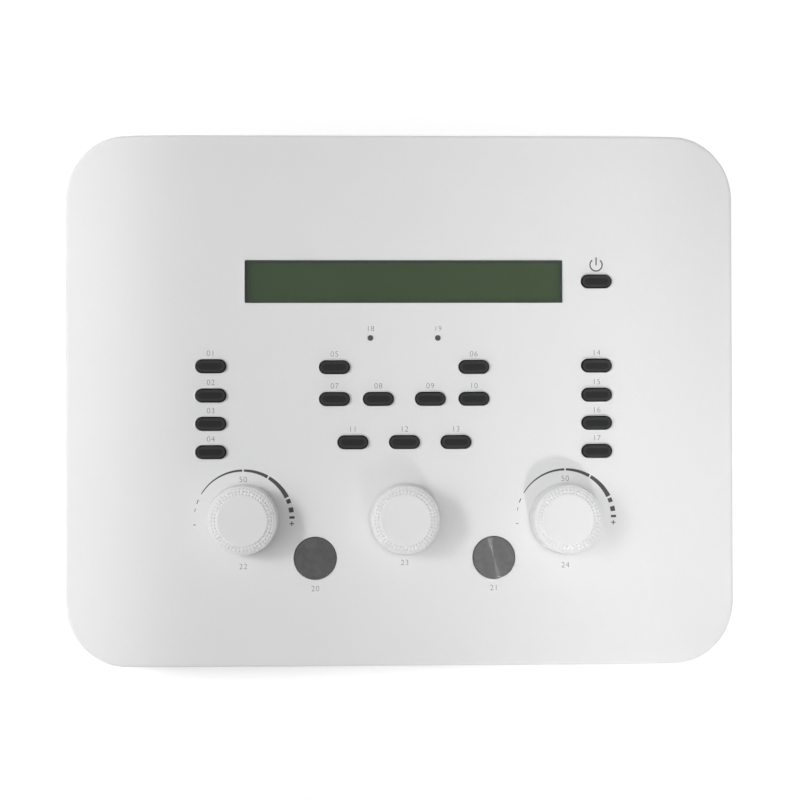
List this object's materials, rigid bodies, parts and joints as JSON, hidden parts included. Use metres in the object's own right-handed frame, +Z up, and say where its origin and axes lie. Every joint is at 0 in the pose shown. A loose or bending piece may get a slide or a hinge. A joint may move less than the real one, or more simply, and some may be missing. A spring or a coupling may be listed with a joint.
{
  "type": "desktop audiometer",
  "caption": "Desktop hearing-test unit: sloping crowned panel with a text display, sprung oblong keys, round metal buttons, endless dials and a rear socket bay.",
  "frame": {"origin": "centre of the object's footprint, at the bottom of its feet", "axes": "+X to the operator's right, +Y away from the operator, +Z up; the panel rises to the rear"},
  "size_m": [0.304, 0.2392, 0.0604],
  "materials": {
    "white_plastic": "fine satin moulded",
    "base_plastic": "fine satin moulded",
    "plate_plastic": "satin",
    "window_plastic": "clear tinted",
    "lcd_green": "glossy",
    "bezel_steel": "satin black",
    "circuit_green": "solder mask",
    "component_black": "matt",
    "ribbon_grey": "matt",
    "led_resin": "glossy",
    "key_plastic": "satin",
    "button_metal": "spun",
    "plunger_plastic": "matt",
    "dial_plastic": "satin",
    "lamp_plastic": "smoked",
    "zinc": "plated",
    "encoder_metal": "die-cast",
    "socket_plastic": "matt",
    "foot_rubber": "matt"
  },
  "bodies": {
    "housing": {"top_cover": "white_plastic", "base_tub": "base_plastic", "rear_plate": "plate_plastic", "display_window": "window_plastic", "lcd_glass": "lcd_green", "lcd_bezel": "bezel_steel", "lcd_board": "circuit_green", "front_board": "circuit_green", "main_board": "circuit_green", "main_board_parts": "component_black", "ribbon_cable": "ribbon_grey", "key_switches": "component_black", "lamp_leds": "led_resin", "left_encoder": "encoder_metal", "centre_encoder": "encoder_metal", "right_encoder": "encoder_metal", "present_lamp": "lamp_plastic", "response_lamp": "lamp_plastic", "left_phone_socket": "socket_plastic", "right_phone_socket": "socket_plastic", "bone_socket": "socket_plastic", "field_socket": "socket_plastic", "response_socket": "socket_plastic", "socket_nuts": "zinc", "mic_socket": "socket_plastic", "usb_socket": "zinc", "power_inlet": "socket_plastic", "rubber_feet": "foot_rubber", "case_screws": "zinc", "board_screws": "zinc"},
    "tone_key": {"tone_key": "key_plastic"},
    "warble_key": {"warble_key": "key_plastic"},
    "speech_key": {"speech_key": "key_plastic"},
    "mask_key": {"mask_key": "key_plastic"},
    "print_key": {"print_key": "key_plastic"},
    "step_key": {"step_key": "key_plastic"},
    "options_key": {"options_key": "key_plastic"},
    "talkover_key": {"talkover_key": "key_plastic"},
    "left_ear_key": {"left_ear_key": "key_plastic"},
    "right_ear_key": {"right_ear_key": "key_plastic"},
    "pulse_key": {"pulse_key": "key_plastic"},
    "reverse_key": {"reverse_key": "key_plastic"},
    "plus_level_key": {"plus_level_key": "key_plastic"},
    "lock_key": {"lock_key": "key_plastic"},
    "air_key": {"air_key": "key_plastic"},
    "bone_key": {"bone_key": "key_plastic"},
    "field_key": {"field_key": "key_plastic"},
    "power_key": {"power_key": "key_plastic"},
    "present_button": {"present_button": "button_metal", "present_plunger": "plunger_plastic"},
    "store_button": {"store_button": "button_metal", "store_plunger": "plunger_plastic"},
    "left_dial": {"left_dial": "dial_plastic", "left_encoder_shaft": "zinc"},
    "centre_dial": {"centre_dial": "dial_plastic", "centre_encoder_shaft": "zinc"},
    "right_dial": {"right_dial": "dial_plastic", "right_encoder_shaft": "zinc"}
  },
  "joints": [
    {"name": "tone_key_press", "type": "slide", "parent": "housing", "child": "tone_key", "axis": [0, 0.1219, -0.9925], "range_m": [0, 0.001], "stiffness_N_per_m": 600},
    {"name": "warble_key_press", "type": "slide", "parent": "housing", "child": "warble_key", "axis": [0, 0.1219, -0.9925], "range_m": [0, 0.001], "stiffness_N_per_m": 600},
    {"name": "speech_key_press", "type": "slide", "parent": "housing", "child": "speech_key", "axis": [0, 0.1219, -0.9925], "range_m": [0, 0.001], "stiffness_N_per_m": 600},
    {"name": "mask_key_press", "type": "slide", "parent": "housing", "child": "mask_key", "axis": [0, 0.1219, -0.9925], "range_m": [0, 0.001], "stiffness_N_per_m": 600},
    {"name": "print_key_press", "type": "slide", "parent": "housing", "child": "print_key", "axis": [0, 0.1219, -0.9925], "range_m": [0, 0.001], "stiffness_N_per_m": 600},
    {"name": "step_key_press", "type": "slide", "parent": "housing", "child": "step_key", "axis": [0, 0.1219, -0.9925], "range_m": [0, 0.001], "stiffness_N_per_m": 600},
    {"name": "options_key_press", "type": "slide", "parent": "housing", "child": "options_key", "axis": [0, 0.1219, -0.9925], "range_m": [0, 0.001], "stiffness_N_per_m": 600},
    {"name": "talkover_key_press", "type": "slide", "parent": "housing", "child": "talkover_key", "axis": [0, 0.1219, -0.9925], "range_m": [0, 0.001], "stiffness_N_per_m": 600},
    {"name": "left_ear_key_press", "type": "slide", "parent": "housing", "child": "left_ear_key", "axis": [0, 0.1219, -0.9925], "range_m": [0, 0.001], "stiffness_N_per_m": 600},
    {"name": "right_ear_key_press", "type": "slide", "parent": "housing", "child": "right_ear_key", "axis": [0, 0.1219, -0.9925], "range_m": [0, 0.001], "stiffness_N_per_m": 600},
    {"name": "pulse_key_press", "type": "slide", "parent": "housing", "child": "pulse_key", "axis": [0, 0.1219, -0.9925], "range_m": [0, 0.001], "stiffness_N_per_m": 600},
    {"name": "reverse_key_press", "type": "slide", "parent": "housing", "child": "reverse_key", "axis": [0, 0.1219, -0.9925], "range_m": [0, 0.001], "stiffness_N_per_m": 600},
    {"name": "plus_level_key_press", "type": "slide", "parent": "housing", "child": "plus_level_key", "axis": [0, 0.1219, -0.9925], "range_m": [0, 0.001], "stiffness_N_per_m": 600},
    {"name": "lock_key_press", "type": "slide", "parent": "housing", "child": "lock_key", "axis": [0, 0.1219, -0.9925], "range_m": [0, 0.001], "stiffness_N_per_m": 600},
    {"name": "air_key_press", "type": "slide", "parent": "housing", "child": "air_key", "axis": [0, 0.1219, -0.9925], "range_m": [0, 0.001], "stiffness_N_per_m": 600},
    {"name": "bone_key_press", "type": "slide", "parent": "housing", "child": "bone_key", "axis": [0, 0.1219, -0.9925], "range_m": [0, 0.001], "stiffness_N_per_m": 600},
    {"name": "field_key_press", "type": "slide", "parent": "housing", "child": "field_key", "axis": [0, 0.1219, -0.9925], "range_m": [0, 0.001], "stiffness_N_per_m": 600},
    {"name": "power_key_press", "type": "slide", "parent": "housing", "child": "power_key", "axis": [0, 0.1219, -0.9925], "range_m": [0, 0.001], "stiffness_N_per_m": 600},
    {"name": "present_button_press", "type": "slide", "parent": "housing", "child": "present_button", "axis": [0, 0.1219, -0.9925], "range_m": [0, 0.001], "stiffness_N_per_m": 600},
    {"name": "store_button_press", "type": "slide", "parent": "housing", "child": "store_button", "axis": [0, 0.1219, -0.9925], "range_m": [0, 0.001], "stiffness_N_per_m": 600},
    {"name": "left_dial_turn", "type": "hinge", "parent": "housing", "child": "left_dial", "pos_m": [-0.0714, -0.05404, 0.03951], "axis": [0, -0.1219, 0.9925], "continuous": true},
    {"name": "centre_dial_turn", "type": "hinge", "parent": "housing", "child": "centre_dial", "pos_m": [0.0011, -0.05404, 0.03951], "axis": [0, -0.1219, 0.9925], "continuous": true},
    {"name": "right_dial_turn", "type": "hinge", "parent": "housing", "child": "right_dial", "pos_m": [0.0736, -0.05404, 0.03951], "axis": [0, -0.1219, 0.9925], "continuous": true}
  ]
}
